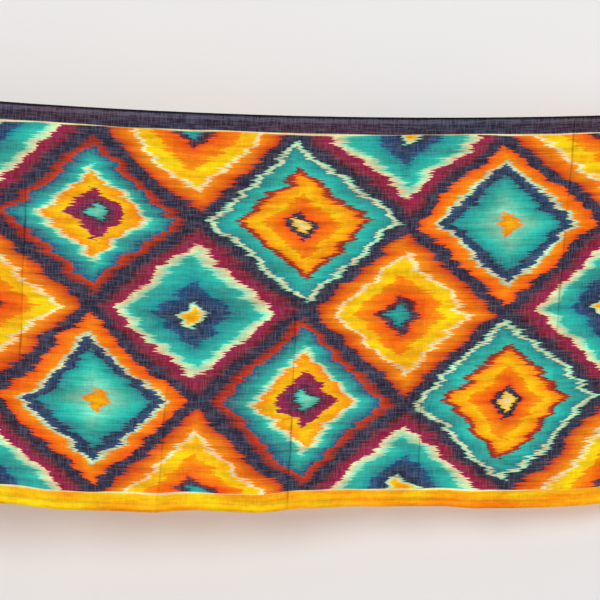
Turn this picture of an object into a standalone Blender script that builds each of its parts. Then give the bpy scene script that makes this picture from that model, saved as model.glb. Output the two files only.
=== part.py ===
"""A light printed scarf that hangs open to its full width, held at its two top corners.

Metres. +X runs along the top edge, +Z is up, and the printed face is turned to -Y.
The origin is the middle of the top edge. The cloth keeps the pressed lines of its folding:
in half along its length three times over, so that seven upright creases part eight panes.
"""

from collections import namedtuple
import math

import bmesh
import bpy
from mathutils import Vector

LENGTH = 1.85
WIDTH = 0.68
SAG = 0.041
WALL = 0.001
SEAM_GAP = 0.0003
HEM_WIDTH = 0.014

# The straight line between the top corners, a little shorter than the sagging edge.
SPAN = LENGTH / (1 + 8 / 3 * (SAG / LENGTH) ** 2)
# Where the turned edges of the two ends stop, on either side of the middle.
END_HEM_X = SPAN / 2 - HEM_WIDTH

# Pressed creases. Each runs through three places in X: at the top edge, half way down and
# at the bottom edge. The rises are how far its crest stands to the front there, or to the
# back where they are negative. Its flanks die away over the reach.
Crease = namedtuple("Crease", "top middle bottom rise_top rise_middle rise_bottom reach")
CREASES = (
    Crease(-0.700, -0.706, -0.716, -0.0008, -0.0024, -0.0034, 0.026),
    Crease(-0.466, -0.475, -0.481, -0.0010, -0.0036, -0.0030, 0.030),
    Crease(-0.225, -0.225, -0.247, 0.0010, 0.0018, 0.0036, 0.024),
    Crease(-0.007, -0.010, -0.021, -0.0008, -0.0026, -0.0042, 0.032),
    Crease(0.217, 0.214, 0.205, -0.0006, -0.0020, -0.0032, 0.022),
    Crease(0.478, 0.450, 0.431, 0.0012, 0.0040, 0.0030, 0.030),
    Crease(0.706, 0.692, 0.676, 0.0008, 0.0026, 0.0036, 0.026),
)

# Soft folds of the hanging cloth, from one place to another, as X and the drop below the
# top edge. Each is highest at the peak, a share of its way, and fades out towards its ends.
# It swells to the front, or to the back where its height is negative.
Fold = namedtuple("Fold", "from_x from_drop to_x to_drop peak half_width height")
FOLDS = (
    Fold(-0.90, 0.02, -0.80, 0.80, 0.70, 0.050, 0.013),
    Fold(-0.83, 0.06, -0.71, 0.84, 0.72, 0.056, -0.011),
    Fold(-0.62, 0.10, -0.60, 0.90, 0.74, 0.080, 0.010),
    Fold(-0.39, 0.08, -0.41, 0.92, 0.70, 0.062, 0.006),
    Fold(-0.31, 0.16, -0.30, 0.90, 0.68, 0.058, -0.007),
    Fold(-0.13, 0.12, -0.15, 0.94, 0.66, 0.074, 0.008),
    Fold(0.07, 0.10, 0.08, 0.92, 0.70, 0.066, -0.008),
    Fold(0.15, 0.20, 0.14, 0.88, 0.72, 0.050, 0.006),
    Fold(0.33, 0.08, 0.31, 0.94, 0.66, 0.086, 0.009),
    Fold(0.56, 0.10, 0.54, 0.90, 0.72, 0.076, -0.009),
    Fold(0.84, 0.05, 0.75, 0.86, 0.70, 0.060, 0.012),
    Fold(0.90, 0.02, 0.84, 0.82, 0.72, 0.044, -0.010),
    Fold(-0.95, -0.06, -0.64, 0.42, 0.30, 0.036, 0.006),
    Fold(0.96, -0.06, 0.62, 0.46, 0.28, 0.040, 0.006),
)

# The bottom edge rises and falls a little: how far it hangs below the straight cut.
Hang = namedtuple("Hang", "x extra")
HANGS = (
    Hang(-0.93, 0.002),
    Hang(-0.74, -0.003),
    Hang(-0.62, 0.001),
    Hang(-0.51, -0.002),
    Hang(-0.40, 0.003),
    Hang(-0.27, 0.005),
    Hang(-0.17, -0.001),
    Hang(-0.07, 0.003),
    Hang(0.01, -0.004),
    Hang(0.13, -0.007),
    Hang(0.24, -0.005),
    Hang(0.32, 0.000),
    Hang(0.39, 0.003),
    Hang(0.50, 0.004),
    Hang(0.63, -0.001),
    Hang(0.78, 0.003),
    Hang(0.93, -0.002),
)

# The folds use up cloth, so the two free lower corners are drawn in towards the middle. This
# starts a way out from the middle and is greatest at the corners themselves.
DRAWN_IN = 0.014
DRAWN_FROM_X = 0.62

# Columns stand this near each crease, and the rest of a pane is shared out evenly.
NEAR_CREASE = (0.005, 0.016)
PANE_COLUMNS = 6
ROWS = 13

# Colours of the dyed cloth, linear: the panel's commonest, and the print along each edge.
PANEL_COLOUR = (0.62, 0.20, 0.04, 1.0)
TOP_COLOUR = (0.025, 0.022, 0.055, 1.0)
BOTTOM_COLOUR = (0.80, 0.17, 0.02, 1.0)
END_COLOUR = (0.05, 0.36, 0.34, 1.0)
CLOTH_ROUGHNESS = 0.72


def through_three(first, middle, last, share):
    """A smooth curve through three values, at a share of the way from the first to the last."""
    return (
        first * (1 - share) * (1 - 2 * share)
        + middle * 4 * share * (1 - share)
        + last * share * (2 * share - 1)
    )


def smooth_step(share):
    share = min(max(share, 0.0), 1.0)
    return share * share * (3 - 2 * share)


def crease_x(crease, drop):
    return through_three(crease.top, crease.middle, crease.bottom, drop / WIDTH)


def crease_rise(crease, x, drop):
    away = abs(x - crease_x(crease, drop)) / crease.reach
    crest = through_three(crease.rise_top, crease.rise_middle, crease.rise_bottom, drop / WIDTH)
    return crest * math.exp(-away)


def fold_rise(fold, x, drop):
    run_x = fold.to_x - fold.from_x
    run_drop = fold.to_drop - fold.from_drop
    run = math.hypot(run_x, run_drop)
    past_x = x - fold.from_x
    past_drop = drop - fold.from_drop
    along = (past_x * run_x + past_drop * run_drop) / run**2
    away = abs(past_x * run_drop - past_drop * run_x) / run / fold.half_width
    if away >= 1:
        return 0.0
    fade = along / fold.peak if along < fold.peak else (1 - along) / (1 - fold.peak)
    return fold.height * smooth_step(fade) * (0.5 + 0.5 * math.cos(math.pi * away))


def extra_hang(x):
    """How far the bottom edge hangs below the straight cut, eased from row to row."""
    for left, right in zip(HANGS, HANGS[1:]):
        if x <= right.x:
            share = smooth_step((x - left.x) / (right.x - left.x))
            return left.extra + (right.extra - left.extra) * share
    return HANGS[-1].extra


def cloth_point(x, drop):
    """The front face of the cloth at X and a distance down from the top edge."""
    top = SAG * (2 * x / SPAN) ** 2
    rise = sum(crease_rise(crease, x, drop) for crease in CREASES)
    rise += sum(fold_rise(fold, x, drop) for fold in FOLDS)
    lower = (drop / WIDTH) ** 2
    outer = smooth_step((abs(x) - DRAWN_FROM_X) / (SPAN / 2 - DRAWN_FROM_X))
    drawn = math.copysign(DRAWN_IN * outer * lower, x)
    return Vector((x - drawn, -rise, top - drop - extra_hang(x) * lower))


def cloth_normal(x, drop):
    """The way the front faces, from two short chords across the cloth."""
    step = 0.002
    across = cloth_point(x + step, drop) - cloth_point(x - step, drop)
    down = cloth_point(x, drop + step) - cloth_point(x, drop - step)
    return down.cross(across).normalized()


def column_lines(drop):
    """X of each column at one drop, end to end: the columns keep beside the creases."""
    creases = [crease_x(crease, drop) for crease in CREASES]
    bounds = [-END_HEM_X, *creases, END_HEM_X]
    lines = [-SPAN / 2]
    for left, right in zip(bounds, bounds[1:]):
        near_left = [left + near for near in NEAR_CREASE]
        near_right = [right - near for near in reversed(NEAR_CREASE)]
        pitch = (near_right[0] - near_left[-1]) / (PANE_COLUMNS + 1)
        evenly = [near_left[-1] + pitch * (i + 1) for i in range(PANE_COLUMNS)]
        lines += [left, *near_left, *evenly, *near_right]
    return [*lines, END_HEM_X, SPAN / 2]


def cloth_sheet(name, drops, lines_at, behind, colour):
    """A closed sheet one wall thick over the rows and columns, set back from the front face."""
    bm = bmesh.new()
    faces = []
    for depth in (behind, behind + WALL):
        grid = []
        for drop in drops:
            row = []
            for x in lines_at(drop):
                point = cloth_point(x, drop) - cloth_normal(x, drop) * depth
                row.append(bm.verts.new(point))
            grid.append(row)
        faces.append(grid)
    front, back = faces
    rows = len(drops) - 1
    columns = len(front[0]) - 1
    for i in range(rows):
        for j in range(columns):
            bm.faces.new((front[i][j], front[i + 1][j], front[i + 1][j + 1], front[i][j + 1]))
            bm.faces.new((back[i][j], back[i][j + 1], back[i + 1][j + 1], back[i + 1][j]))
    for j in range(columns):
        bm.faces.new((front[0][j], front[0][j + 1], back[0][j + 1], back[0][j]))
        bm.faces.new((front[rows][j], back[rows][j], back[rows][j + 1], front[rows][j + 1]))
    for i in range(rows):
        bm.faces.new((front[i][0], back[i][0], back[i + 1][0], front[i + 1][0]))
        bm.faces.new(
            (front[i][columns], front[i + 1][columns], back[i + 1][columns], back[i][columns])
        )
    mesh = bpy.data.meshes.new(name)
    bm.to_mesh(mesh)
    bm.free()
    mesh.shade_smooth()
    mesh.set_sharp_from_angle(angle=math.radians(50))
    mesh.materials.append(dyed_cloth(name, colour))
    sheet = bpy.data.objects.new(name, mesh)
    bpy.context.scene.collection.objects.link(sheet)
    return sheet


def dyed_cloth(name, colour):
    material = bpy.data.materials.new(name + "_cloth")
    material.use_nodes = True
    shader = material.node_tree.nodes["Principled BSDF"]
    shader.inputs["Base Color"].default_value = colour
    shader.inputs["Roughness"].default_value = CLOTH_ROUGHNESS
    shader.inputs["Metallic"].default_value = 0.0
    return material


def evenly_down(first, last, count):
    return [first + (last - first) * i / count for i in range(count + 1)]


def make_panel():
    """The whole cloth, from the fold of one hem to the fold of the other both ways."""
    drops = [0.0, *evenly_down(HEM_WIDTH, WIDTH - HEM_WIDTH, ROWS), WIDTH]
    cloth_sheet("panel", drops, column_lines, 0.0, PANEL_COLOUR)


def make_long_hems():
    """The turned edges along the top and the bottom, flat against the back for their length."""
    behind = WALL + SEAM_GAP
    cloth_sheet("hem_top", (0.0, HEM_WIDTH), column_lines, behind, TOP_COLOUR)
    cloth_sheet("hem_bottom", (WIDTH - HEM_WIDTH, WIDTH), column_lines, behind, BOTTOM_COLOUR)


def make_end_hems():
    """The turned edges of the two ends, between the long hems."""
    behind = WALL + SEAM_GAP
    drops = evenly_down(HEM_WIDTH, WIDTH - HEM_WIDTH, ROWS)
    drops[0] += SEAM_GAP
    drops[-1] -= SEAM_GAP
    cloth_sheet("hem_left", drops, lambda drop: (-SPAN / 2, -END_HEM_X), behind, END_COLOUR)
    cloth_sheet("hem_right", drops, lambda drop: (END_HEM_X, SPAN / 2), behind, END_COLOUR)


def clear_scene():
    for old in list(bpy.data.objects):
        bpy.data.objects.remove(old, do_unlink=True)


clear_scene()
make_panel()
make_long_hems()
make_end_hems()
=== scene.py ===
from collections import namedtuple
import math

import bpy
import numpy as np
from mathutils import Matrix, Vector, noise


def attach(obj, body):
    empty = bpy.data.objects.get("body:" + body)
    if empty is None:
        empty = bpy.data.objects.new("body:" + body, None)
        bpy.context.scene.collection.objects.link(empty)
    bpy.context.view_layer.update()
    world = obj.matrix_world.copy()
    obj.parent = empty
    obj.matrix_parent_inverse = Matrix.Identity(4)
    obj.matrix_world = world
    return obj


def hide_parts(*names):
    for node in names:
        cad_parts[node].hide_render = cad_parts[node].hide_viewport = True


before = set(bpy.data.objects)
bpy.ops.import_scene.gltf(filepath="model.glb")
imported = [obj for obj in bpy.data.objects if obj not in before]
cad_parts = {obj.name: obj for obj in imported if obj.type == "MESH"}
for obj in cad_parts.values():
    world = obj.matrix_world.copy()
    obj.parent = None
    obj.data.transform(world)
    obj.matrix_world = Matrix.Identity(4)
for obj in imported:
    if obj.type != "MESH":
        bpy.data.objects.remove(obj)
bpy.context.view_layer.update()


# ---- The camera -------------------------------------------------------------------------
# It stands level with the middle of the cloth and a little to its left, leaning over by
# half a degree or so, and it is close enough for both ends of the scarf to be cut off.

CAMERA_TARGET = Vector((-0.0033, 0.0, -0.3168))
CAMERA_DISTANCE = 2.6
CAMERA_TO_LEFT = math.radians(5.88)
CAMERA_ROLL = math.radians(0.63)
CAMERA_LENS = 90.7
CAMERA_SENSOR = 36.0

looking = Vector((math.sin(CAMERA_TO_LEFT), math.cos(CAMERA_TO_LEFT), 0.0))
level_right = Vector((math.cos(CAMERA_TO_LEFT), -math.sin(CAMERA_TO_LEFT), 0.0))
world_up = Vector((0.0, 0.0, 1.0))
camera_right = level_right * math.cos(CAMERA_ROLL) + world_up * math.sin(CAMERA_ROLL)
camera_up = world_up * math.cos(CAMERA_ROLL) - level_right * math.sin(CAMERA_ROLL)

bpy.ops.object.camera_add(location=CAMERA_TARGET - looking * CAMERA_DISTANCE)
camera = bpy.context.object
camera.name = "camera"
camera.data.lens = CAMERA_LENS
camera.data.sensor_width = CAMERA_SENSOR
camera.rotation_euler = Matrix((camera_right, camera_up, -looking)).transposed().to_euler()
bpy.context.scene.camera = camera


# ---- The cloth --------------------------------------------------------------------------
# One length of fine plain weave, silk and modal, dyed on its face so that the back comes
# out paler. It hangs from its two top corners, and it still has the pressed lines of its
# folding, in half along its length three times over, with soft folds between them.

CLOTH_LENGTH = 1.85
CLOTH_WIDTH = 0.68
CLOTH_THICK = 0.0005
# How far the top edge sags between the corners that are held, and how far apart these hang.
EDGE_SAG = 0.041
CLOTH_SPAN = CLOTH_LENGTH / (1 + 8 / 3 * (EDGE_SAG / CLOTH_LENGTH) ** 2)
# How far each end is drawn in at the bottom, and how far from the middle that starts.
DRAWN_IN = 0.014
DRAWN_FROM_X = 0.62
# A hem, from the edge: where its round fold begins on the front, where it is sewn, its width.
HEM_FOLD = 0.0012
STITCH_LINE = 0.0128
HEM_WIDTH = 0.014
# The step in the cloth's outline where a long hem stops and an end hem begins.
HEM_SEAM = 0.00006

# Pressed creases: X at the top edge, half way down and at the bottom; how far the crest
# stands out at each of these, to the front or to the back; the reach of its flanks; how
# strong the iron's line on it is; and the shares of the drop between which it is still sharp.
Crease = namedtuple(
    "Crease",
    "top middle bottom rise_top rise_middle rise_bottom reach line sharp_from sharp_to",
)
PRESSED_CREASES = (
    Crease(-0.700, -0.706, -0.716, -0.0008, -0.0024, -0.0034, 0.026, 0.75, 0.30, 0.92),
    Crease(-0.466, -0.475, -0.481, -0.0010, -0.0036, -0.0030, 0.030, 1.05, 0.20, 0.64),
    Crease(-0.225, -0.225, -0.247, 0.0010, 0.0018, 0.0036, 0.024, 0.85, 0.62, 1.04),
    Crease(-0.007, -0.010, -0.021, -0.0008, -0.0026, -0.0042, 0.032, 1.15, 0.50, 1.06),
    Crease(0.217, 0.214, 0.205, -0.0006, -0.0020, -0.0032, 0.022, 0.95, 0.62, 1.00),
    Crease(0.478, 0.450, 0.431, 0.0012, 0.0040, 0.0030, 0.030, 1.05, 0.00, 0.60),
    Crease(0.706, 0.692, 0.676, 0.0008, 0.0026, 0.0036, 0.026, 0.70, 0.16, 0.58),
)
# The iron's line: how far a full one stands out, its reach, its share where it has faded, and
# the share of the drop over which it fades.
IRON_LINE = 0.0020
IRON_LINE_REACH = 0.0024
IRON_LINE_FAINT = 0.25
SHARP_FADE = 0.16
# Each crease strays in a slow and a quick wave: how far, and how many waves in a metre.
STRAYS = (0.0007, 0.00035)
STRAY_WAVES = (6.5, 15.5)
# So does the strength of the iron's line about its mean.
LINE_MEAN = 0.70
LINE_WAVERS = (0.20, 0.10)
LINE_WAVES = (4.3, 10.6)
# What puts each crease's waves out of step with its neighbours'.
OUT_OF_STEP = 7.3

# Folds: where each starts and ends, the share of the way at which it is highest, half of its
# width, and how far it stands out, to the front or to the back.
Fold = namedtuple("Fold", "from_x from_drop to_x to_drop peak half_width height")
SOFT_FOLDS = (
    Fold(-0.90, 0.02, -0.80, 0.80, 0.70, 0.050, 0.013),
    Fold(-0.83, 0.06, -0.71, 0.84, 0.72, 0.056, -0.011),
    Fold(-0.62, 0.10, -0.60, 0.90, 0.74, 0.080, 0.010),
    Fold(-0.39, 0.08, -0.41, 0.92, 0.70, 0.062, 0.006),
    Fold(-0.31, 0.16, -0.30, 0.90, 0.68, 0.058, -0.007),
    Fold(-0.13, 0.12, -0.15, 0.94, 0.66, 0.074, 0.008),
    Fold(0.07, 0.10, 0.08, 0.92, 0.70, 0.066, -0.008),
    Fold(0.15, 0.20, 0.14, 0.88, 0.72, 0.050, 0.006),
    Fold(0.33, 0.08, 0.31, 0.94, 0.66, 0.086, 0.009),
    Fold(0.56, 0.10, 0.54, 0.90, 0.72, 0.076, -0.009),
    Fold(0.84, 0.05, 0.75, 0.86, 0.70, 0.060, 0.012),
    Fold(0.90, 0.02, 0.84, 0.82, 0.72, 0.044, -0.010),
    Fold(-0.95, -0.06, -0.64, 0.42, 0.30, 0.036, 0.006),
    Fold(0.96, -0.06, 0.62, 0.46, 0.28, 0.040, 0.006),
)
# Small creases beside the pressed ones, and drag lines.
SMALL_CREASES = (
    Fold(0.200, 0.16, 0.196, 0.38, 0.45, 0.009, 0.0009),
    Fold(-0.462, 0.18, -0.452, 0.34, 0.50, 0.008, -0.0008),
    Fold(-0.262, 0.40, -0.284, 0.62, 0.55, 0.011, 0.0010),
    Fold(0.012, 0.38, 0.002, 0.60, 0.50, 0.009, 0.0010),
    Fold(-0.044, 0.46, -0.050, 0.66, 0.60, 0.010, -0.0009),
    Fold(0.447, 0.30, 0.420, 0.56, 0.50, 0.010, -0.0012),
    Fold(0.496, 0.10, 0.470, 0.30, 0.50, 0.008, 0.0009),
    Fold(0.262, 0.44, 0.250, 0.70, 0.60, 0.012, 0.0011),
    Fold(0.352, 0.50, 0.366, 0.74, 0.62, 0.013, -0.0012),
    Fold(-0.360, 0.48, -0.352, 0.74, 0.60, 0.012, 0.0012),
    Fold(-0.100, 0.52, -0.094, 0.72, 0.60, 0.010, 0.0009),
    Fold(-0.720, 0.12, -0.740, 0.36, 0.50, 0.010, -0.0010),
    Fold(-0.690, 0.40, -0.700, 0.62, 0.55, 0.010, 0.0010),
    Fold(-0.560, 0.46, -0.548, 0.72, 0.60, 0.012, 0.0012),
    Fold(0.700, 0.18, 0.690, 0.42, 0.50, 0.010, -0.0010),
    Fold(0.660, 0.46, 0.640, 0.70, 0.60, 0.012, 0.0012),
    Fold(0.800, 0.44, 0.776, 0.72, 0.60, 0.014, -0.0013),
    Fold(-0.860, 0.42, -0.820, 0.70, 0.60, 0.014, 0.0013),
)
# How far the bottom edge hangs below the straight cut, at each X.
Hang = namedtuple("Hang", "x extra")
EXTRA_HANG = (
    Hang(-0.93, 0.002),
    Hang(-0.74, -0.003),
    Hang(-0.62, 0.001),
    Hang(-0.51, -0.002),
    Hang(-0.40, 0.003),
    Hang(-0.27, 0.005),
    Hang(-0.17, -0.001),
    Hang(-0.07, 0.003),
    Hang(0.01, -0.004),
    Hang(0.13, -0.007),
    Hang(0.24, -0.005),
    Hang(0.32, 0.000),
    Hang(0.39, 0.003),
    Hang(0.50, 0.004),
    Hang(0.63, -0.001),
    Hang(0.78, 0.003),
    Hang(0.93, -0.002),
)

# The slight unevenness of soft cloth, stretched upright: waves in a metre each way, the slice
# of the noise that it takes, and its height. It grows from the taut top edge, over the first
# of the two numbers below, and the second says how much of that way it already has there.
Crumple = namedtuple("Crumple", "across down slice height")
CRUMPLES = (
    Crumple(16, 5, 0.0, 0.0011),
    Crumple(46, 17, 7.0, 0.0004),
)
CRUMPLE_GROWS = 0.16
CRUMPLE_AT_TOP = 0.1

# Along its stitches a hem dips, and between them and the fold it swells.
SEWN_DIP = 0.00045
SEWN_DIP_REACH = 0.0016
HEM_SWELL = 0.00034
# The thread draws it up in small puckers: two ripples, each with its height, its pitch, and
# how far and how quickly it runs ahead of that pitch and falls behind it.
PUCKER_REACH = 0.009
Ripple = namedtuple("Ripple", "height pitch swing swing_rate")
PUCKERS = (
    Ripple(0.00013, 0.019, 2.1, 23),
    Ripple(0.00013, 0.0113, 1.7, 41),
)
# Half of the chord over which the cloth's slope is taken.
SLOPE_CHORD = 0.002


def smooth_step(share):
    share = np.clip(share, 0.0, 1.0)
    return share * share * (3 - 2 * share)


def through_three(first, middle, last, share):
    """The curve through three values, at the top, half way down and at the bottom."""
    return (
        first * (1 - share) * (1 - 2 * share)
        + middle * 4 * share * (1 - share)
        + last * share * (2 * share - 1)
    )


def fold_rise(fold, x, drop):
    run_x = fold.to_x - fold.from_x
    run_drop = fold.to_drop - fold.from_drop
    run = math.hypot(run_x, run_drop)
    past_x = x - fold.from_x
    past_drop = drop - fold.from_drop
    along = (past_x * run_x + past_drop * run_drop) / run**2
    away = np.abs(past_x * run_drop - past_drop * run_x) / run / fold.half_width
    fade = np.minimum(along / fold.peak, (1 - along) / (1 - fold.peak))
    bump = 0.5 + 0.5 * np.cos(np.pi * np.minimum(away, 1.0))
    return fold.height * smooth_step(fade) * bump


def two_waves(waves, heights, crease, drop):
    """The sum of two waves down the cloth, which start elsewhere on each crease."""
    start = crease.top * OUT_OF_STEP
    return sum(
        height * np.sin(2 * np.pi * (drop * count + start * count))
        for count, height in zip(waves, heights)
    )


def crease_x(crease, drop):
    straight = through_three(crease.top, crease.middle, crease.bottom, drop / CLOTH_WIDTH)
    return straight + two_waves(STRAY_WAVES, STRAYS, crease, drop)


def iron_line(crease, x, drop):
    """The iron's line, strongest on the crest where it is sharp, and dying away to both sides."""
    share = drop / CLOTH_WIDTH
    begun = smooth_step((share - crease.sharp_from) / SHARP_FADE + 0.5)
    ended = smooth_step((share - crease.sharp_to) / SHARP_FADE + 0.5)
    sharp = IRON_LINE_FAINT + (1 - IRON_LINE_FAINT) * (begun - ended)
    uneven = LINE_MEAN + two_waves(LINE_WAVES, LINE_WAVERS, crease, drop)
    away = np.abs(x - crease_x(crease, drop))
    return crease.line * sharp * uneven * np.exp(-away / IRON_LINE_REACH)


def crease_rise(crease, x, drop):
    share = drop / CLOTH_WIDTH
    away = np.abs(x - crease_x(crease, drop))
    crest = through_three(crease.rise_top, crease.rise_middle, crease.rise_bottom, share)
    line = np.copysign(IRON_LINE, crest) * iron_line(crease, x, drop)
    return crest * np.exp(-away / crease.reach) + line


def crumpled(x, drop):
    rise = np.zeros_like(x)
    for waves in CRUMPLES:
        slices = np.full_like(x, waves.slice)
        places = np.stack([x * waves.across, drop * waves.down, slices], -1).reshape(-1, 3)
        heights = np.array([noise.noise(Vector(place)) for place in places]).reshape(x.shape)
        rise += waves.height * heights
    return rise * smooth_step(drop / CRUMPLE_GROWS + CRUMPLE_AT_TOP)


def hem_pucker(x, drop):
    """The dip along each row of stitches, and the small puckers that the thread draws up."""
    rise = np.zeros_like(x)
    long_edges = np.minimum(drop, CLOTH_WIDTH - drop)
    ends = CLOTH_SPAN / 2 - np.abs(x)
    for inwards, along in ((long_edges, x), (ends, drop)):
        dip = np.exp(-(((inwards - STITCH_LINE) / SEWN_DIP_REACH) ** 2))
        swell = np.sin(np.pi * np.clip(inwards / STITCH_LINE, 0, 1))
        rise += HEM_SWELL * swell - SEWN_DIP * dip
        near_stitches = np.exp(-(((inwards - STITCH_LINE) / PUCKER_REACH) ** 2))
        for ripple in PUCKERS:
            ahead = ripple.swing * np.sin(along * ripple.swing_rate)
            wave = np.sin(along * 2 * np.pi / ripple.pitch + ahead)
            rise += ripple.height * wave * near_stitches
    return rise


def cloth_points(x, drop):
    """Where the cloth's front lies, for arrays of X and of the drop from the top edge."""
    hang_x, hang = np.array(EXTRA_HANG).T
    row = np.clip(np.searchsorted(hang_x, x) - 1, 0, len(hang_x) - 2)
    share = smooth_step((x - hang_x[row]) / (hang_x[row + 1] - hang_x[row]))
    extra = hang[row] + (hang[row + 1] - hang[row]) * share
    lower = (drop / CLOTH_WIDTH) ** 2
    outer = smooth_step((np.abs(x) - DRAWN_FROM_X) / (CLOTH_SPAN / 2 - DRAWN_FROM_X))
    drawn = np.sign(x) * DRAWN_IN * outer * lower
    rise = crumpled(x, drop) + hem_pucker(x, drop)
    for crease in PRESSED_CREASES:
        rise = rise + crease_rise(crease, x, drop)
    for fold in SOFT_FOLDS + SMALL_CREASES:
        rise = rise + fold_rise(fold, x, drop)
    top = EDGE_SAG * (2 * x / CLOTH_SPAN) ** 2
    return np.stack([x - drawn, -rise, top - drop - extra * lower], -1)


def cloth_normals(x, drop):
    """The way that the cloth's front faces at each place."""
    across = cloth_points(x + SLOPE_CHORD, drop) - cloth_points(x - SLOPE_CHORD, drop)
    down = cloth_points(x, drop + SLOPE_CHORD) - cloth_points(x, drop - SLOPE_CHORD)
    normals = np.cross(down, across)
    return normals / np.linalg.norm(normals, axis=-1, keepdims=True)


# Points stand about this far apart, and columns of them this far from each pressed crease.
CELL = 0.0058
NEAR_CREASE = (0.0008, 0.002, 0.004, 0.007, 0.011)


def column_lines(drops, left_end, right_end):
    """X of each column along each row, close together beside the pressed creases."""
    bounds = [left_end + 0 * drops]
    bounds += [crease_x(crease, drops) for crease in PRESSED_CREASES]
    bounds += [right_end + 0 * drops]
    near = NEAR_CREASE[-1]
    lines = []
    for left, right in zip(bounds, bounds[1:]):
        count = round(float((right - left).mean() - 2 * near) / CELL)
        lines += [left] + [left + away for away in NEAR_CREASE[:-1]]
        lines += [left + near + (right - left - 2 * near) * i / count for i in range(count + 1)]
        lines += [right - away for away in reversed(NEAR_CREASE[:-1])]
    return np.stack([*lines, bounds[-1]], -1)


def cut_places(x, drop):
    """Places on the flat cloth as its UV map has them, both ways as shares of its length."""
    return np.stack([x / CLOTH_LENGTH + 0.5, 1 - drop / CLOTH_LENGTH], -1)


def give_cut(mesh, places):
    """The UV map that the dyeing reads, from a place for each corner of a face."""
    mesh.uv_layers.new(name="cut").data.foreach_set("uv", places.astype(np.float32).ravel())


def corner_vertices(mesh):
    """Which vertex each corner of a face is."""
    corners = np.empty(len(mesh.loops), np.int32)
    mesh.loops.foreach_get("vertex_index", corners)
    return corners


def pushed_grid(name, points, x, drop):
    """A plane grid with its points put in their places, which knows its cut and its creases'
    painted shade.
    """
    rows, columns = points.shape[:2]
    bpy.ops.object.select_all(action="DESELECT")
    bpy.ops.mesh.primitive_grid_add(x_subdivisions=columns - 1, y_subdivisions=rows - 1, size=1)
    piece = bpy.context.object
    piece.name = piece.data.name = name
    mesh = piece.data
    mesh.vertices.foreach_set("co", points.astype(np.float32).ravel())
    while mesh.uv_layers:
        mesh.uv_layers.remove(mesh.uv_layers[0])
    give_cut(mesh, cut_places(x, drop).reshape(-1, 2)[corner_vertices(mesh)])
    # The iron lines' strength, which the finish paints as darker lines along the creases, a
    # painted shade.
    crease_shade_mask = sum(iron_line(crease, x, drop) for crease in PRESSED_CREASES)
    mesh.attributes.new("crease_shade_mask", "FLOAT", "POINT").data.foreach_set("value", crease_shade_mask.ravel())
    mesh.update()
    return piece


# A bend sharper than this shows as an edge.
SHARP_BEND = math.radians(50)


def give_face_and_back(piece, face, back):
    """The cloth's wall, from the grid's side inwards, with one finish outside and one inside."""
    piece.data.materials.append(face)
    piece.data.materials.append(back)
    wall = piece.modifiers.new("wall", "SOLIDIFY")
    wall.thickness = CLOTH_THICK
    wall.offset = -1.0
    wall.use_rim = True
    wall.material_offset = 1
    bpy.context.view_layer.objects.active = piece
    bpy.ops.object.modifier_apply(modifier=wall.name)
    bpy.ops.object.select_all(action="DESELECT")
    piece.select_set(True)
    bpy.ops.object.shade_smooth_by_angle(angle=SHARP_BEND)


# Rows of points across a long hem, from its fold inwards, and the first row past it.
HEM_ROWS = np.array(
    [HEM_FOLD, 0.003, 0.0055, 0.008, 0.010, STITCH_LINE, HEM_WIDTH, HEM_WIDTH + HEM_SEAM]
)
PAST_HEM = 0.017

middle_rows = round((CLOTH_WIDTH - 2 * PAST_HEM) / CELL) + 1
row_drops = np.concatenate(
    (
        HEM_ROWS,
        np.linspace(PAST_HEM, CLOTH_WIDTH - PAST_HEM, middle_rows),
        CLOTH_WIDTH - HEM_ROWS[::-1],
    )
)
# Between the long hems the cloth stops where its end hems fold over.
between_hems = np.minimum(row_drops, CLOTH_WIDTH - row_drops) > HEM_WIDTH + HEM_SEAM / 2
end_x = CLOTH_SPAN / 2 - HEM_FOLD * between_hems
# Its rows run upwards, so that the faces look to the front.
grid_x = column_lines(row_drops, -end_x, end_x)[::-1]
grid_drop = np.repeat(row_drops[::-1, None], grid_x.shape[1], axis=1)
cloth = pushed_grid("scarf_cloth", cloth_points(grid_x, grid_drop), grid_x, grid_drop)

# The dyes, as linear colours.
NAVY = (0.016, 0.016, 0.042)
PLUM = (0.040, 0.013, 0.034)
CRIMSON = (0.360, 0.008, 0.075)
RUST = (0.620, 0.052, 0.010)
MAROON = (0.140, 0.010, 0.012)
BLUE = (0.008, 0.062, 0.170)
TEAL = (0.006, 0.230, 0.270)
TURQUOISE = (0.035, 0.490, 0.400)
MINT = (0.250, 0.720, 0.520)
CREAM = (0.890, 0.740, 0.410)
GOLD = (0.960, 0.570, 0.004)
ORANGE = (0.960, 0.275, 0.003)
RED_ORANGE = (0.880, 0.090, 0.006)
# What the clouds in the dye multiply it by, from one side of its hue to the other.
WARMER = (1.06, 0.84, 0.80)
COOLER = (0.92, 1.14, 1.08)
# The light that undyed fibre gives back over the dye, and the cloth's own colour undyed.
UNDYED_FIBRE = (0.050, 0.054, 0.069)
UNDYED_CLOTH = (0.55, 0.50, 0.46)

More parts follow.
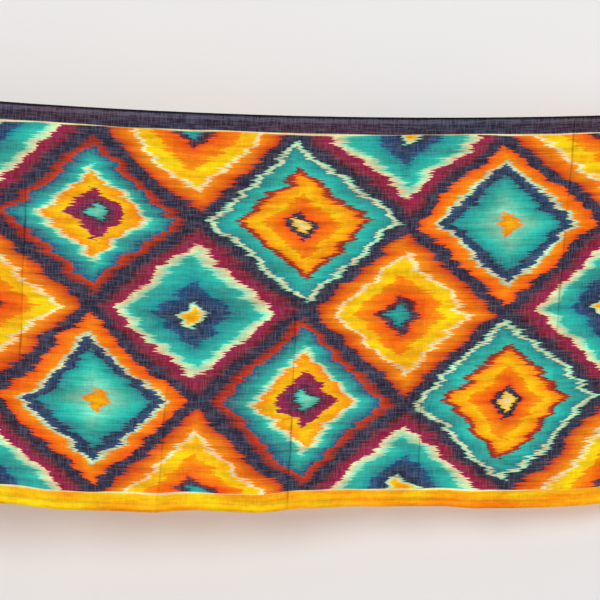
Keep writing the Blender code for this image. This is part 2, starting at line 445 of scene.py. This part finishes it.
# The rings of each lozenge, from its heart outwards: where each starts, as a share of the way
# out, the dye of its inner side and the dye of its outer side.
Ring = namedtuple("Ring", "start inner outer")
WARM_LOZENGE = (
    Ring(0.00, CREAM, GOLD),
    Ring(0.11, NAVY, PLUM),
    Ring(0.19, RED_ORANGE, ORANGE),
    Ring(0.40, GOLD, ORANGE),
    Ring(0.58, RUST, MAROON),
    Ring(0.66, TURQUOISE, TEAL),
    Ring(0.87, CREAM, MINT),
    Ring(0.93, NAVY, NAVY),
)
COOL_LOZENGE = (
    Ring(0.00, GOLD, ORANGE),
    Ring(0.13, MINT, TURQUOISE),
    Ring(0.36, TURQUOISE, TEAL),
    Ring(0.54, NAVY, BLUE),
    Ring(0.68, CREAM, MINT),
    Ring(0.73, ORANGE, RED_ORANGE),
    Ring(0.92, PLUM, NAVY),
)
DUSK_LOZENGE = (
    Ring(0.00, MINT, TURQUOISE),
    Ring(0.12, PLUM, CRIMSON),
    Ring(0.32, GOLD, ORANGE),
    Ring(0.50, CREAM, MINT),
    Ring(0.57, TURQUOISE, BLUE),
    Ring(0.80, RUST, MAROON),
    Ring(0.92, NAVY, NAVY),
)
EMBER_LOZENGE = (
    Ring(0.00, TURQUOISE, TEAL),
    Ring(0.12, NAVY, MAROON),
    Ring(0.22, RED_ORANGE, ORANGE),
    Ring(0.46, GOLD, GOLD),
    Ring(0.64, CREAM, CREAM),
    Ring(0.69, ORANGE, RUST),
    Ring(0.90, PLUM, NAVY),
)
DEEP_LOZENGE = (
    Ring(0.00, ORANGE, GOLD),
    Ring(0.11, CREAM, MINT),
    Ring(0.16, NAVY, BLUE),
    Ring(0.38, TEAL, TURQUOISE),
    Ring(0.62, MINT, CREAM),
    Ring(0.74, CRIMSON, MAROON),
    Ring(0.92, PLUM, NAVY),
)
# Half of the soft seam between two dyes, as a share of the way out.
DYE_BLEED = 0.006
# The plain border's width, and half of the soft seam at its edge.
BORDER = 0.030
BORDER_BLEED = 0.0006
LOZENGE_ACROSS = (CLOTH_LENGTH - 2 * BORDER) / 5
LOZENGE_HIGH = (CLOTH_WIDTH - 2 * BORDER) / 2

# How far bundles, hanks and the slow drift move the pattern along the cloth and down it, and
# how far the border wavers.
BUNDLE_SLIP = 0.034
HANK_SLIP = 0.040
DRIFT_SLIP = 0.060
ROW_DRIFT = 0.050
BORDER_WAVER = 0.006

# Grains of the dyeing and the weave: cells in a metre along the cloth and down it, how much
# finer grain each holds, and the slice of the noise that it takes.
Grain = namedtuple("Grain", "along down detail slice")
BUNDLES = Grain(8, 420, 1.0, 1.0)
HANKS = Grain(7, 70, 1.0, 2.0)
DRIFT_ALONG = Grain(5, 7, 2.0, 3.0)
DRIFT_DOWN = Grain(6, 6, 2.0, 4.0)
STROKES = Grain(5, 95, 5.0, 5.0)
CLOUDS = Grain(13, 30, 4.0, 6.0)
BLOTS = Grain(90, 150, 4.0, 7.0)
UPRIGHT_THREADS = Grain(430, 46, 2.0, 8.0)
LEVEL_THREADS = Grain(36, 430, 2.0, 9.0)
DRAWN_LINES = Grain(4, 240, 3.0, 10.0)
SLUBS = Grain(14, 300, 1.0, 11.0)
BORDER_WASH = Grain(3, 22, 3.0, 12.0)

# How much strokes, clouds and blots count in the strength of the dye.
STROKES_COUNT = 0.9
CLOUDS_COUNT = 0.6
BLOTS_COUNT = 0.4

# Spreads: the two values between which a grain or a distance in metres makes a change, and
# what comes of it at each of them.
Spread = namedtuple("Spread", "low high at_low at_high", defaults=(0.0, 1.0))
WASH_SPREAD = Spread(0.38, 0.62)
PALE_LINE_WIDTH = Spread(0.35, 0.65, 0.0002, 0.0034)
BORDER_EDGE = Spread(BORDER - BORDER_BLEED, BORDER + BORDER_BLEED)
DYE_STRENGTH = Spread(0.66, 1.24, 0.72, 1.14)
DRAWN_LINE_SHADE = Spread(0.66, 0.76, 1.0, 0.66)
DYE_HUE = Spread(0.3, 0.7)
THREAD_SHADE = Spread(0.70, 1.30, 0.90, 1.07)
PALE_THREAD = Spread(0.42, 0.76)
PALE_SLUB = Spread(0.60, 0.78, 0.0, 0.8)
# The band where a hem stands proud, paler from wear and from a painted highlight.
PROUD_BAND_FROM = Spread(0.0026, 0.0068)
PROUD_BAND_TO = Spread(0.0100, 0.0136)
# A hem is painted darker at its fold and along its stitches, a painted shade.
PAINTED_FOLD_SHADE = Spread(0.0020, 0.0054, 0.16, 1.0)
PAINTED_SEWN_SHADE = Spread(0.0004, 0.0022, 0.78, 1.0)
DARK_DYE = Spread(0.03, 0.50, 1.0, 0.0)
# Along the pressed creases' iron lines the colour is painted darker, a painted shade.
PAINTED_CREASE_SHADE = Spread(0.15, 0.9, 1.0, 0.61)

# Where a hem stands proud, partly worn and partly a painted highlight: how much paler its pale
# threads get, how pale it gets all over, and how much lighter it is painted.
PROUD_PALE_THREADS = 0.7
PROUD_PALE_ALL = 0.22
PAINTED_PROUD_HIGHLIGHT = 0.32
# The share of a hem's painted shade and highlight that bright dyes take. Dark ones take all of it.
PAINTED_SHADE_ON_BRIGHT = 0.2


class Dyeing:
    """Small steps for a node tree: each adds one node and gives back what comes out of it."""

    def __init__(self, tree):
        self.tree = tree

    def node(self, kind, **settings):
        made = self.tree.nodes.new(kind)
        for name, value in settings.items():
            setattr(made, name, value)
        return made

    def feed(self, socket, value):
        if isinstance(value, bpy.types.NodeSocket):
            self.tree.links.new(value, socket)
        else:
            socket.default_value = value

    def maths(self, operation, *values):
        made = self.node("ShaderNodeMath", operation=operation)
        for socket, value in zip(made.inputs, values):
            self.feed(socket, value)
        return made.outputs[0]

    def vector(self, x, y, z):
        made = self.node("ShaderNodeCombineXYZ")
        for socket, value in zip(made.inputs, (x, y, z)):
            self.feed(socket, value)
        return made.outputs[0]

    def mottle(self, along, down, grain):
        """Noise from 0 to 1 with its grain stretched."""
        made = self.node("ShaderNodeTexNoise", noise_dimensions="3D")
        stretched_along = self.maths("MULTIPLY", along, grain.along)
        stretched_down = self.maths("MULTIPLY", down, grain.down)
        self.feed(made.inputs["Vector"], self.vector(stretched_along, stretched_down, grain.slice))
        made.inputs["Scale"].default_value = 1.0
        made.inputs["Detail"].default_value = grain.detail
        return made.outputs["Fac"]

    def spread(self, value, spread):
        made = self.node("ShaderNodeMapRange", interpolation_type="SMOOTHSTEP")
        names = ("Value", "From Min", "From Max", "To Min", "To Max")
        for name, number in zip(names, (value, *spread)):
            self.feed(made.inputs[name], number)
        return made.outputs["Result"]

    def mix(self, share, first, second, blend="MIX"):
        made = self.node("ShaderNodeMix", data_type="RGBA", blend_type=blend)
        self.feed(made.inputs["Factor"], share)
        for name, colour in (("A", first), ("B", second)):
            socket = next(s for s in made.inputs if s.name == name and s.type == "RGBA")
            plain = not isinstance(colour, bpy.types.NodeSocket)
            self.feed(socket, (*colour, 1.0) if plain else colour)
        return next(s for s in made.outputs if s.type == "RGBA")

    def shaded(self, colour, shade):
        """The colour made darker or lighter by a number, all of it."""
        return self.mix(1.0, colour, self.vector(shade, shade, shade), "MULTIPLY")

    def rings(self, way, rings):
        """The dyes of a lozenge along the way from its heart to its outline."""
        ramp = self.node("ShaderNodeValToRGB")
        stops = ramp.color_ramp.elements
        while len(stops) > 1:
            stops.remove(stops[-1])
        stops[0].position = 0.0
        stops[0].color = (*rings[0].inner, 1.0)
        for before, ring in zip(rings, rings[1:]):
            stops.new(ring.start - DYE_BLEED).color = (*before.outer, 1.0)
            stops.new(ring.start + DYE_BLEED).color = (*ring.inner, 1.0)
        stops.new(1.0).color = (*rings[-1].outer, 1.0)
        self.feed(ramp.inputs["Fac"], way)
        return ramp.outputs["Color"]


def lozenges(dye, along, down):
    """A lattice of lozenges in rings: three in turn along its rows, and two between these."""
    columns = dye.maths("DIVIDE", dye.maths("SUBTRACT", along, CLOTH_LENGTH / 2), LOZENGE_ACROSS)
    from_first_row = dye.maths("SUBTRACT", down, BORDER + LOZENGE_HIGH / 2)
    rows = dye.maths("DIVIDE", from_first_row, LOZENGE_HIGH)
    # The way out from a heart is 0 there and 1 on the outline, past which a next one's way in
    # starts.
    out_columns = dye.maths("PINGPONG", dye.maths("MULTIPLY", columns, 2.0), 1.0)
    out_rows = dye.maths("PINGPONG", dye.maths("MULTIPLY", rows, 2.0), 1.0)
    way_out = dye.maths("ADD", out_columns, out_rows)
    way_in = dye.maths("SUBTRACT", 2.0, way_out)
    column = dye.maths("ROUND", columns)
    row = dye.maths("ROUND", rows)
    turn = dye.maths("FLOORED_MODULO", dye.maths("MULTIPLY_ADD", row, 2.0, column), 3.0)
    between_column = dye.maths("FLOOR", columns)
    between_row = dye.maths("FLOOR", rows)
    between_turn = dye.maths("FLOORED_MODULO", dye.maths("ADD", between_column, between_row), 2.0)

    warm = dye.rings(way_out, WARM_LOZENGE)
    cool = dye.rings(way_out, COOL_LOZENGE)
    dusk = dye.rings(way_out, DUSK_LOZENGE)
    main = dye.mix(dye.maths("GREATER_THAN", turn, 0.5), warm, cool)
    main = dye.mix(dye.maths("GREATER_THAN", turn, 1.5), main, dusk)
    ember = dye.rings(way_in, EMBER_LOZENGE)
    deep = dye.rings(way_in, DEEP_LOZENGE)
    between = dye.mix(dye.maths("GREATER_THAN", between_turn, 0.5), ember, deep)
    return dye.mix(dye.maths("GREATER_THAN", way_out, 1.0), main, between)


def bordered(dye, colour, along, down, waver, drift):
    """A plain border, and inside it a fine pale line that comes and goes."""
    from_top = dye.maths("ADD", down, waver)
    from_bottom = dye.maths("SUBTRACT", CLOTH_WIDTH, from_top)
    from_left = dye.maths("ADD", along, waver)
    from_right = dye.maths("SUBTRACT", CLOTH_LENGTH, from_left)
    from_end = dye.maths("MINIMUM", from_left, from_right)
    from_long = dye.maths("MINIMUM", from_top, from_bottom)
    from_edge = dye.maths("MINIMUM", from_end, from_long)
    # It is navy along the top, orange along the bottom and teal at the ends.
    wash = dye.spread(dye.mottle(along, down, BORDER_WASH), WASH_SPREAD)
    top_dye = dye.mix(wash, NAVY, PLUM)
    bottom_dye = dye.mix(wash, ORANGE, GOLD)
    end_dye = dye.mix(wash, TEAL, BLUE)
    border = dye.mix(dye.maths("LESS_THAN", from_bottom, from_top), top_dye, bottom_dye)
    border = dye.mix(dye.maths("LESS_THAN", from_end, from_long), border, end_dye)
    past_line = dye.maths("SUBTRACT", from_edge, dye.spread(drift, PALE_LINE_WIDTH))
    colour = dye.mix(dye.spread(past_line, BORDER_EDGE), CREAM, colour)
    return dye.mix(dye.spread(from_edge, BORDER_EDGE), border, colour)


def unevenly_dyed(dye, colour, along, down):
    """Uneven dye: long strokes, clouds that shift its hue, small blots and fine drawn lines."""
    strokes = dye.mottle(along, down, STROKES)
    clouds = dye.mottle(along, down, CLOUDS)
    blots = dye.mottle(along, down, BLOTS)
    strength = dye.maths("MULTIPLY", clouds, CLOUDS_COUNT)
    strength = dye.maths("MULTIPLY_ADD", strokes, STROKES_COUNT, strength)
    strength = dye.maths("MULTIPLY_ADD", blots, BLOTS_COUNT, strength)
    lines = dye.spread(dye.mottle(along, down, DRAWN_LINES), DRAWN_LINE_SHADE)
    colour = dye.shaded(colour, dye.maths("MULTIPLY", dye.spread(strength, DYE_STRENGTH), lines))
    return dye.mix(1.0, colour, dye.mix(dye.spread(clouds, DYE_HUE), WARMER, COOLER), "MULTIPLY")


def hem_wear_and_painted_shade(dye, along, down):
    """How far into its proud band a hem is, and its painted shade.

    Where it stands proud it is rubbed and gets a painted highlight, and it gets painted shade at
    its fold and where it is sewn.
    """
    edge_long = dye.maths("MINIMUM", down, dye.maths("SUBTRACT", CLOTH_WIDTH, down))
    edge_end = dye.maths("MINIMUM", along, dye.maths("SUBTRACT", CLOTH_LENGTH, along))
    edge = dye.maths("MINIMUM", edge_long, edge_end)
    proud_band = dye.maths("SUBTRACT", dye.spread(edge, PROUD_BAND_FROM), dye.spread(edge, PROUD_BAND_TO))
    from_stitches = dye.maths("ABSOLUTE", dye.maths("SUBTRACT", edge, STITCH_LINE))
    stitch_painted_shade = dye.spread(from_stitches, PAINTED_SEWN_SHADE)
    shade = dye.maths("MULTIPLY", dye.spread(edge, PAINTED_FOLD_SHADE), stitch_painted_shade)
    # The proud band gets a painted highlight.
    painted_highlight = dye.maths("MULTIPLY_ADD", proud_band, PAINTED_PROUD_HIGHLIGHT, 1.0)
    return proud_band, dye.maths("MULTIPLY", shade, painted_highlight)


def dyed_pattern():
    """The dyeing and the hems' painted shade as a node group: its colour, and the threads' height
    for bump.
    """
    tree = bpy.data.node_groups.new("dyed_lozenges_and_hem_shade", "ShaderNodeTree")
    tree.interface.new_socket("Colour", in_out="OUTPUT", socket_type="NodeSocketColor")
    tree.interface.new_socket("Threads", in_out="OUTPUT", socket_type="NodeSocketFloat")
    dye = Dyeing(tree)
    cut = dye.node("ShaderNodeUVMap", uv_map="cut")
    split = dye.node("ShaderNodeSeparateXYZ")
    tree.links.new(cut.outputs["UV"], split.inputs[0])
    # Metres along the cloth from its left end, and metres down from its top edge.
    along = dye.maths("MULTIPLY", split.outputs[0], CLOTH_LENGTH)
    down = dye.maths("MULTIPLY", dye.maths("SUBTRACT", 1.0, split.outputs[1]), CLOTH_LENGTH)

    # The threads were tied and dyed in bundles, and each bundle slips a little along the cloth.
    bundle = dye.mottle(along, down, BUNDLES)
    hank = dye.mottle(along, down, HANKS)
    drift_along = dye.mottle(along, down, DRIFT_ALONG)
    drift_down = dye.mottle(along, down, DRIFT_DOWN)
    slip = dye.maths("MULTIPLY", hank, HANK_SLIP)
    slip = dye.maths("MULTIPLY_ADD", bundle, BUNDLE_SLIP, slip)
    slip = dye.maths("MULTIPLY_ADD", drift_along, DRIFT_SLIP, slip)
    slip = dye.maths("SUBTRACT", slip, (BUNDLE_SLIP + HANK_SLIP + DRIFT_SLIP) / 2)
    row_slip = dye.maths("MULTIPLY_ADD", drift_down, ROW_DRIFT, -ROW_DRIFT / 2)
    colour = lozenges(dye, dye.maths("ADD", along, slip), dye.maths("ADD", down, row_slip))
    waver = dye.maths("MULTIPLY_ADD", hank, BORDER_WAVER, -BORDER_WAVER / 2)
    colour = bordered(dye, colour, along, down, waver, drift_along)
    colour = unevenly_dyed(dye, colour, along, down)

    # Threads: each lies a shade lighter or darker than its neighbours, and in the dark dyes the
    # pale fibre shows where a thread took less of them. So do slubs, which run level.
    upright = dye.mottle(along, down, UPRIGHT_THREADS)
    level = dye.mottle(along, down, LEVEL_THREADS)
    slub = dye.mottle(along, down, SLUBS)
    threads = dye.maths("ADD", upright, level)
    colour = dye.shaded(colour, dye.spread(threads, THREAD_SHADE))
    pale = dye.maths("ADD", dye.spread(upright, PALE_THREAD), dye.spread(level, PALE_THREAD))
    pale = dye.maths("ADD", pale, dye.spread(slub, PALE_SLUB))

    # A hem's proud band is paler, from wear and painted highlight; its fold and stitches get
    # painted shade.
    proud_band, hem_painted_shade = hem_wear_and_painted_shade(dye, along, down)
    pale = dye.maths("MULTIPLY", pale, dye.maths("MULTIPLY_ADD", proud_band, PROUD_PALE_THREADS, 1.0))
    pale = dye.maths("MULTIPLY_ADD", proud_band, PROUD_PALE_ALL, pale)
    split_dye = dye.node("ShaderNodeSeparateColor", mode="HSV")
    tree.links.new(colour, split_dye.inputs[0])
    dark = dye.spread(split_dye.outputs[2], DARK_DYE)
    colour = dye.mix(dye.maths("MULTIPLY", pale, dark), colour, UNDYED_FIBRE, "ADD")
    # Dark dyes take all of the hem's painted shade and highlight, bright ones a share.
    painted_shade_share = dye.maths("MULTIPLY_ADD", dark, 1 - PAINTED_SHADE_ON_BRIGHT, PAINTED_SHADE_ON_BRIGHT)
    colour = dye.mix(painted_shade_share, colour, dye.vector(hem_painted_shade, hem_painted_shade, hem_painted_shade), "MULTIPLY")

    out = dye.node("NodeGroupOutput")
    tree.links.new(colour, out.inputs["Colour"])
    tree.links.new(threads, out.inputs["Threads"])
    return tree


dyeing_and_hem_shade = dyed_pattern()

# How much rougher than the mean a sunken thread is, and how much smoother a proud one.
SUNKEN_ROUGHER = 0.10
PROUD_SMOOTHER = 0.06


def cloth_finish(name, paler, roughness):
    """The woven cloth with its dyeing, mixed some way towards the undyed cloth."""
    material = bpy.data.materials.new(name)
    material.use_nodes = True
    dye = Dyeing(material.node_tree)
    shader = material.node_tree.nodes["Principled BSDF"]
    pattern = dye.node("ShaderNodeGroup", node_tree=dyeing_and_hem_shade)
    # Along the pressed creases' iron lines the colour is darkened, a painted shade.
    crease_shade_mask = dye.node("ShaderNodeAttribute", attribute_name="crease_shade_mask")
    colour = dye.mix(paler, pattern.outputs["Colour"], UNDYED_CLOTH)
    colour = dye.shaded(colour, dye.spread(crease_shade_mask.outputs["Fac"], PAINTED_CREASE_SHADE))
    dye.feed(shader.inputs["Base Color"], colour)
    bump = dye.node("ShaderNodeBump")
    bump.inputs["Strength"].default_value = 0.45
    bump.inputs["Distance"].default_value = 0.0004
    dye.feed(bump.inputs["Height"], pattern.outputs["Threads"])
    dye.feed(shader.inputs["Normal"], bump.outputs["Normal"])
    rougher = roughness + SUNKEN_ROUGHER
    smoother = roughness - PROUD_SMOOTHER
    thread_shine = Spread(THREAD_SHADE.low, THREAD_SHADE.high, rougher, smoother)
    dye.feed(shader.inputs["Roughness"], dye.spread(pattern.outputs["Threads"], thread_shine))
    shader.inputs["Specular IOR Level"].default_value = 0.09
    shader.inputs["Sheen Weight"].default_value = 0.03
    shader.inputs["Sheen Roughness"].default_value = 0.4
    shader.inputs["Sheen Tint"].default_value = (0.95, 0.93, 1.0, 1.0)
    return material


printed_face = cloth_finish("printed_face", paler=0.0, roughness=0.66)
paler_back = cloth_finish("paler_back", paler=0.26, roughness=0.72)
give_face_and_back(cloth, printed_face, paler_back)
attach(cloth, "root")
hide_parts("panel")


# ---- The turned hems --------------------------------------------------------------------
# Each edge is folded over to the back and lies flat against it. The fold is round and thin,
# and the long hems run the whole way, with the two end hems between them.

HEM_GAP = 0.0002
HEM_BACK = 2 * CLOTH_THICK + HEM_GAP
FOLD_RADIUS = HEM_BACK / 2
FOLD_STEPS = 6
FLAT_FROM = 0.003
FLAT_STEPS = 5

# The hem in section: how far in from the edge, and how far behind the front face.
fold_angles = np.linspace(0, math.pi, FOLD_STEPS + 1)
round_in = FOLD_RADIUS * (1 - np.sin(fold_angles))
round_behind = FOLD_RADIUS * (1 - np.cos(fold_angles))
flat_in = np.linspace(FLAT_FROM, HEM_WIDTH, FLAT_STEPS)
section_in = np.concatenate(([HEM_FOLD], round_in, flat_in))
section_behind = np.concatenate(([0.0], round_behind, np.full(FLAT_STEPS, HEM_BACK)))


def finish_hem(name, node, x, drop, behind):
    """The hem's mesh, set back from the cloth's front as its section says, with its finish."""
    points = cloth_points(x, drop) - cloth_normals(x, drop) * behind[..., None]
    piece = pushed_grid(name, points, x, drop)
    give_face_and_back(piece, printed_face, paler_back)
    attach(piece, "root")
    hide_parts(node)
    return piece


def long_hem(name, node, from_top):
    """A hem along a long edge, over the cloth's own columns."""
    inwards = section_in if from_top else section_in[::-1]
    behind = section_behind if from_top else section_behind[::-1]
    drops = inwards if from_top else CLOTH_WIDTH - inwards
    end = np.full_like(drops, CLOTH_SPAN / 2)
    x = column_lines(np.full_like(drops, row_drops[0] if from_top else row_drops[-1]), -end, end)
    drop = np.repeat(drops[:, None], x.shape[1], axis=1)
    return finish_hem(name, node, x, drop, np.repeat(behind[:, None], x.shape[1], axis=1))


def end_hem(name, node, side):
    """A hem down one end, over the cloth's own rows between the long hems."""
    drops = row_drops[between_hems]
    inwards = section_in[::-1] if side > 0 else section_in
    behind = section_behind[::-1] if side > 0 else section_behind
    x = np.repeat(side * (CLOTH_SPAN / 2 - inwards)[None, :], len(drops), axis=0)
    drop = np.repeat(drops[:, None], x.shape[1], axis=1)
    return finish_hem(name, node, x, drop, np.repeat(behind[None, :], len(drops), axis=0))


hems = [
    long_hem("turned_hem_top", "hem_top", True),
    long_hem("turned_hem_bottom", "hem_bottom", False),
    end_hem("turned_hem_left", "hem_left", -1),
    end_hem("turned_hem_right", "hem_right", 1),
]


# ---- The sewing -------------------------------------------------------------------------
# One row of short machine stitches in fine clear thread holds each turned hem down. It shows
# on the front and on the back, where each stitch lies along the edge with its ends sunk in.

STITCH_LENGTH = 0.0025
STITCH_PITCH = 0.0032
THREAD_THICK = 0.00044
# How far the middle of a stitch stands off the cloth.
STITCH_PROUD = 0.00014
# Half of the chord over which the way of the sewing is taken.
SEWING_CHORD = 0.001
CLEAR_THREAD = (0.20, 0.18, 0.19)
THREAD_OWN_COLOUR = 0.30


def thread_finish():
    """Clear thread: it takes on the colour of the cloth under it, and is a little glossier."""
    material = bpy.data.materials.new("clear_thread")
    material.use_nodes = True
    dye = Dyeing(material.node_tree)
    shader = material.node_tree.nodes["Principled BSDF"]
    pattern = dye.node("ShaderNodeGroup", node_tree=dyeing_and_hem_shade)
    colour = dye.mix(THREAD_OWN_COLOUR, pattern.outputs["Colour"], CLEAR_THREAD)
    dye.feed(shader.inputs["Base Color"], colour)
    shader.inputs["Roughness"].default_value = 0.38
    return material


clear_thread = thread_finish()

# One stitch, a metre long and a metre thick, which each row makes as small as its own.
bpy.ops.object.select_all(action="DESELECT")
bpy.ops.mesh.primitive_uv_sphere_add(segments=6, ring_count=4, radius=0.5)
one_stitch = bpy.context.object
stitch_points = np.array([vertex.co for vertex in one_stitch.data.vertices])
stitch_faces = [list(face.vertices) for face in one_stitch.data.polygons]
bpy.ops.object.delete()


def sewn_row(name, x, drop):
    """Stitches at these places along a hem, both on the front and on the back, as one mesh."""
    run_x = np.gradient(x)
    run_drop = np.gradient(drop)
    scale = SEWING_CHORD / np.hypot(run_x, run_drop)
    forwards = cloth_points(x + run_x * scale, drop + run_drop * scale)
    backwards = cloth_points(x - run_x * scale, drop - run_drop * scale)
    along = (forwards - backwards) / (2 * SEWING_CHORD)
    outwards = cloth_normals(x, drop)
    across = np.cross(along, outwards)
    middles = cloth_points(x, drop)
    sides = [
        middles + outwards * STITCH_PROUD,
        middles - outwards * (HEM_BACK + STITCH_PROUD),
    ]
    long_way, thick_way, wide_way = (
        np.concatenate([way, way])[:, None, :] for way in (along, outwards, across)
    )
    points = (
        np.concatenate(sides)[:, None, :]
        + long_way * stitch_points[None, :, 2:3] * STITCH_LENGTH
        + thick_way * stitch_points[None, :, 0:1] * THREAD_THICK
        + wide_way * stitch_points[None, :, 1:2] * THREAD_THICK
    )
    firsts = range(0, len(points) * len(stitch_points), len(stitch_points))
    faces = [[first + corner for corner in face] for first in firsts for face in stitch_faces]
    mesh = bpy.data.meshes.new(name)
    mesh.from_pydata(points.reshape(-1, 3).tolist(), [], faces)
    both_sides = np.concatenate([cut_places(x, drop), cut_places(x, drop)])
    give_cut(mesh, both_sides[corner_vertices(mesh) // len(stitch_points)])
    mesh.shade_smooth()
    mesh.materials.append(clear_thread)
    piece = bpy.data.objects.new(name, mesh)
    bpy.context.scene.collection.objects.link(piece)
    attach(piece, "root")
    return piece


row_reach = CLOTH_SPAN / 2 - STITCH_LINE
long_count = round(2 * row_reach / STITCH_PITCH) + 1
long_row = np.linspace(-row_reach, row_reach, long_count)
# The rows down the ends leave out the corner stitches, which the long rows have.
end_count = round((CLOTH_WIDTH - 2 * STITCH_LINE) / STITCH_PITCH) + 1
end_row = np.linspace(STITCH_LINE, CLOTH_WIDTH - STITCH_LINE, end_count)[1:-1]
sewing = [
    sewn_row("stitches_top", long_row, np.full_like(long_row, STITCH_LINE)),
    sewn_row("stitches_bottom", long_row, np.full_like(long_row, CLOTH_WIDTH - STITCH_LINE)),
    sewn_row("stitches_left", np.full_like(end_row, -row_reach), end_row),
    sewn_row("stitches_right", np.full_like(end_row, row_reach), end_row),
]


# ---- The wall, the floor and the light --------------------------------------------------
# A pale wall stands square to the camera, so it is nearer to the cloth at the right. Seen
# from behind it is clear, and it lets the light from behind through to the cloth's back.

WALL_BEHIND = 0.115
WALL_SIZE = 3.8
FLOOR_SIZE = 6.0
FLOOR_FORWARD = 1.6
FLOOR_Z = -1.25
PAINT = (0.80, 0.80, 0.81)
PAINT_PALER = (0.84, 0.84, 0.845)
PAINT_CLOUDS = Grain(1.5, 1.5, 2.0, 0.0)
# By height, how much darker the wall is painted lower down, a painted shade.
PAINTED_WALL_SHADE = Spread(-0.75, -0.05, 0.835, 0.955)

bpy.ops.object.select_all(action="DESELECT")
bpy.ops.mesh.primitive_plane_add(size=WALL_SIZE)
wall = bpy.context.object
wall.name = "wall"
wall_middle = Vector((0.0, 0.0, FLOOR_Z + WALL_SIZE / 2)) + looking * WALL_BEHIND
turned = Matrix((level_right, world_up, -looking)).transposed().to_4x4()
wall.data.transform(Matrix.Translation(wall_middle) @ turned)
bpy.ops.mesh.primitive_plane_add(size=FLOOR_SIZE, location=(0.0, -FLOOR_FORWARD, FLOOR_Z))
floor = bpy.context.object
floor.name = "floor"

plaster = bpy.data.materials.new("wall_plaster")
plaster.use_nodes = True
plaster_nodes = plaster.node_tree.nodes
plaster_links = plaster.node_tree.links
wall_dye = Dyeing(plaster.node_tree)
wall_shader = plaster_nodes["Principled BSDF"]
wall_shader.inputs["Roughness"].default_value = 0.9
wall_shader.inputs["Specular IOR Level"].default_value = 0.15
place = wall_dye.node("ShaderNodeTexCoord")
split_place = wall_dye.node("ShaderNodeSeparateXYZ")
plaster_links.new(place.outputs["Object"], split_place.inputs[0])
clouds = wall_dye.mottle(split_place.outputs[0], split_place.outputs[2], PAINT_CLOUDS)
paint = wall_dye.mix(clouds, PAINT, PAINT_PALER)
# The wall is painted darker lower down, a painted shade.
paint = wall_dye.shaded(paint, wall_dye.spread(split_place.outputs[2], PAINTED_WALL_SHADE))
wall_dye.feed(wall_shader.inputs["Base Color"], paint)
clear = wall_dye.node("ShaderNodeBsdfTransparent")
facing = wall_dye.node("ShaderNodeNewGeometry")
either = wall_dye.node("ShaderNodeMixShader")
plaster_links.new(facing.outputs["Backfacing"], either.inputs[0])
plaster_links.new(wall_shader.outputs[0], either.inputs[1])
plaster_links.new(clear.outputs[0], either.inputs[2])
plaster_links.new(either.outputs[0], plaster_nodes["Material Output"].inputs["Surface"])
wall.data.materials.append(plaster)
floor.data.materials.append(plaster)
wall.visible_diffuse = False
wall.visible_glossy = False
wall.visible_shadow = False


def turn_lamp(lamp, way):
    """Make a lamp shine this way."""
    lamp.rotation_euler = Vector(way).to_track_quat("-Z", "Y").to_euler()


def soft_lamp(name, place, way, wide, high, energy, colour):
    """A rectangle of soft light that the camera doesn't see."""
    bpy.ops.object.light_add(type="AREA", location=place)
    lamp = bpy.context.object
    lamp.name = name
    lamp.data.shape = "RECTANGLE"
    lamp.data.size = wide
    lamp.data.size_y = high
    lamp.data.energy = energy
    lamp.data.color = colour
    lamp.visible_camera = False
    turn_lamp(lamp, way)


bpy.ops.object.light_add(type="SUN", location=(-2.4, -3.5, 1.4))
key = bpy.context.object
key.name = "key_light"
key.data.angle = math.radians(26)
key.data.energy = 1.82
key.data.color = (1.0, 0.995, 0.98)
turn_lamp(key, (0.532, 0.760, -0.375))

# The light that comes through the thin cloth tints the wall under the hem.
soft_lamp(
    "light_through_cloth",
    place=(-0.06, 0.02, -0.57),
    way=(0.0, 1.0, 0.0),
    wide=1.3,
    high=0.2,
    energy=0.56,
    colour=(1.0, 0.36, 0.14),
)
# A broad soft light behind the wall shows the cloth's back.
soft_lamp(
    "light_from_behind",
    place=(2.2, 2.0, 0.7),
    way=(-0.72, -0.66, -0.30),
    wide=1.4,
    high=1.2,
    energy=78,
    colour=(1.0, 1.0, 1.0),
)

sky = bpy.data.worlds.new("studio")
sky.use_nodes = True
sky.node_tree.nodes["Background"].inputs["Color"].default_value = (1.0, 0.975, 0.95, 1.0)
sky.node_tree.nodes["Background"].inputs["Strength"].default_value = 0.59
bpy.context.scene.world = sky
bpy.context.scene.view_settings.view_transform = "Standard"
